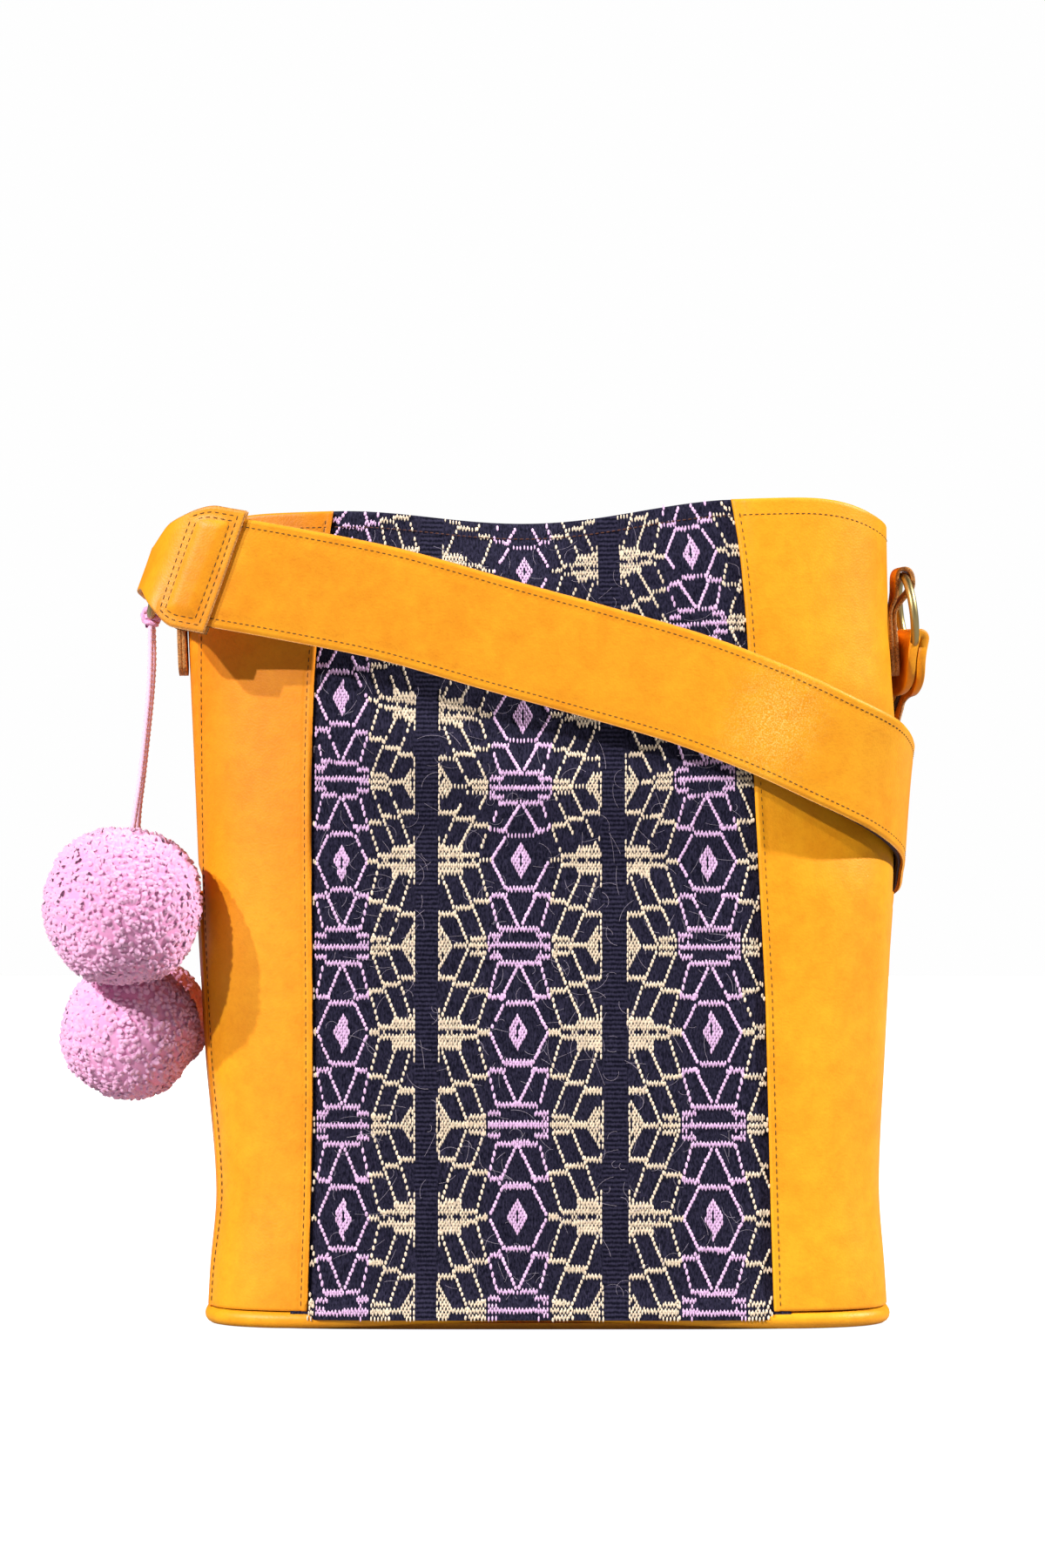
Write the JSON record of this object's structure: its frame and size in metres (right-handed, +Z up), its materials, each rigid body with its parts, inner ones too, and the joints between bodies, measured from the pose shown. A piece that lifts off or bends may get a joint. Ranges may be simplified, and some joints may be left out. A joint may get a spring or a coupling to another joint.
{
  "type": "woven shoulder bag",
  "caption": "Upright open-topped shoulder bag with leather walls, a handwoven front panel, a wide draped strap on side rings, and yarn pompoms hung on cords.",
  "frame": {"origin": "middle of the base's underside, on the floor", "axes": "+Z up, the woven front faces -Y, +X to the viewer's right in the picture"},
  "size_m": [0.3556, 0.2212, 0.3331],
  "materials": {
    "amber_leather": "smooth, lightly grained",
    "dark_backing": "matte, suede side out",
    "woven_cloth": "handwoven, navy with lilac and cream",
    "ring_brass": "satin, aged",
    "lilac_yarn": "cut yarn"
  },
  "bodies": {
    "root": {"base_panel": "amber_leather", "base_piping": "amber_leather", "woven_panel": "woven_cloth", "leather_front_left": "amber_leather", "leather_front_right": "amber_leather", "leather_back": "amber_leather", "back_pocket": "amber_leather", "ring_left": "ring_brass", "ring_right": "ring_brass", "side_tab_left": "amber_leather", "side_tab_right": "amber_leather", "strap_backing": "dark_backing", "strap_leather": "amber_leather", "strap_end_left": "amber_leather", "strap_end_right": "amber_leather", "cord_knot": "lilac_yarn", "cord_front": "lilac_yarn", "cord_rear": "lilac_yarn", "pompom_upper": "lilac_yarn", "pompom_lower": "lilac_yarn", "pompom_rear": "lilac_yarn"}
  },
  "joints": []
}
